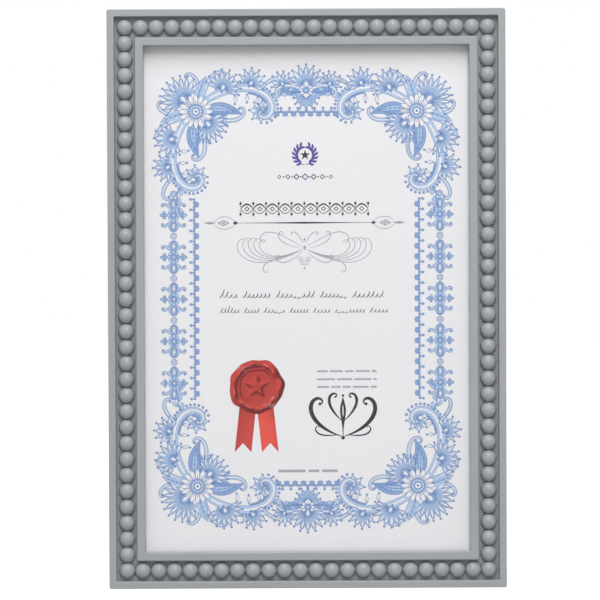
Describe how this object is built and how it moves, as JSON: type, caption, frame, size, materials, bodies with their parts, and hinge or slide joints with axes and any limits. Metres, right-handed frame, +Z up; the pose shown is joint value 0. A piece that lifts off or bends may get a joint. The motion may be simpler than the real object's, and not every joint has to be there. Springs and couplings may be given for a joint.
{
  "type": "certificate frame",
  "caption": "Upright certificate frame with a beaded grey plastic rim, glass, backing board, folding strut and toothed hangers.",
  "frame": {"origin": "middle of the flat bottom edge that the frame stands on, halfway through the rim's depth", "axes": "+Z up along the long side, the front faces -Y, +X to the right of a viewer in front"},
  "size_m": [0.226, 0.0166, 0.329],
  "materials": {
    "rim_plastic": "satin moulded polystyrene",
    "pane_glass": "clear float glass",
    "printed_paper": "matt coated paper",
    "laminated_board": "black laminated fibreboard",
    "plated_steel": "nickel-plated sheet steel",
    "hinge_steel": "zinc-plated steel",
    "rivet_steel": "plated steel",
    "screw_steel": "nickel-plated steel"
  },
  "bodies": {
    "frame": {"backing_board": "laminated_board", "board_leaf_rivets": "rivet_steel", "certificate_sheet": "printed_paper", "frame_moulding": "rim_plastic", "glass_pane": "pane_glass", "hanger_rivets": "rivet_steel", "hinge_board_leaf": "hinge_steel", "hinge_pin": "hinge_steel", "landscape_hanger": "plated_steel", "portrait_hanger": "plated_steel", "turn_button_screws": "screw_steel"},
    "strut": {"hinge_strut_leaf": "hinge_steel", "strut_leaf_rivets": "rivet_steel", "strut_leg": "laminated_board"},
    "turn_button_bottom_left": {"turn_button_bottom_left": "plated_steel"},
    "turn_button_bottom_right": {"turn_button_bottom_right": "plated_steel"},
    "turn_button_left_lower": {"turn_button_left_lower": "plated_steel"},
    "turn_button_left_upper": {"turn_button_left_upper": "plated_steel"},
    "turn_button_right_lower": {"turn_button_right_lower": "plated_steel"},
    "turn_button_right_upper": {"turn_button_right_upper": "plated_steel"},
    "turn_button_top_left": {"turn_button_top_left": "plated_steel"},
    "turn_button_top_right": {"turn_button_top_right": "plated_steel"}
  },
  "joints": [
    {"name": "strut_hinge", "type": "hinge", "parent": "frame", "child": "strut", "pos_m": [0, 0.0052, 0.20507], "axis": [1, 0, 0], "range_deg": [0, 22]},
    {"name": "turn_button_bottom_left_swing", "type": "hinge", "parent": "frame", "child": "turn_button_bottom_left", "pos_m": [-0.06015, 0.00345, 0.00688], "axis": [0, 1, 0], "range_deg": [-90, 90]},
    {"name": "turn_button_bottom_right_swing", "type": "hinge", "parent": "frame", "child": "turn_button_bottom_right", "pos_m": [0.06015, 0.00345, 0.00688], "axis": [0, 1, 0], "range_deg": [-90, 90]},
    {"name": "turn_button_left_lower_swing", "type": "hinge", "parent": "frame", "child": "turn_button_left_lower", "pos_m": [-0.10687, 0.00345, 0.08336], "axis": [0, 1, 0], "range_deg": [-90, 90]},
    {"name": "turn_button_left_upper_swing", "type": "hinge", "parent": "frame", "child": "turn_button_left_upper", "pos_m": [-0.10687, 0.00345, 0.24563], "axis": [0, 1, 0], "range_deg": [-90, 90]},
    {"name": "turn_button_right_lower_swing", "type": "hinge", "parent": "frame", "child": "turn_button_right_lower", "pos_m": [0.10687, 0.00345, 0.08336], "axis": [0, 1, 0], "range_deg": [-90, 90]},
    {"name": "turn_button_right_upper_swing", "type": "hinge", "parent": "frame", "child": "turn_button_right_upper", "pos_m": [0.10687, 0.00345, 0.24563], "axis": [0, 1, 0], "range_deg": [-90, 90]},
    {"name": "turn_button_top_left_swing", "type": "hinge", "parent": "frame", "child": "turn_button_top_left", "pos_m": [-0.06015, 0.00345, 0.32212], "axis": [0, 1, 0], "range_deg": [-90, 90]},
    {"name": "turn_button_top_right_swing", "type": "hinge", "parent": "frame", "child": "turn_button_top_right", "pos_m": [0.06015, 0.00345, 0.32212], "axis": [0, 1, 0], "range_deg": [-90, 90]}
  ]
}
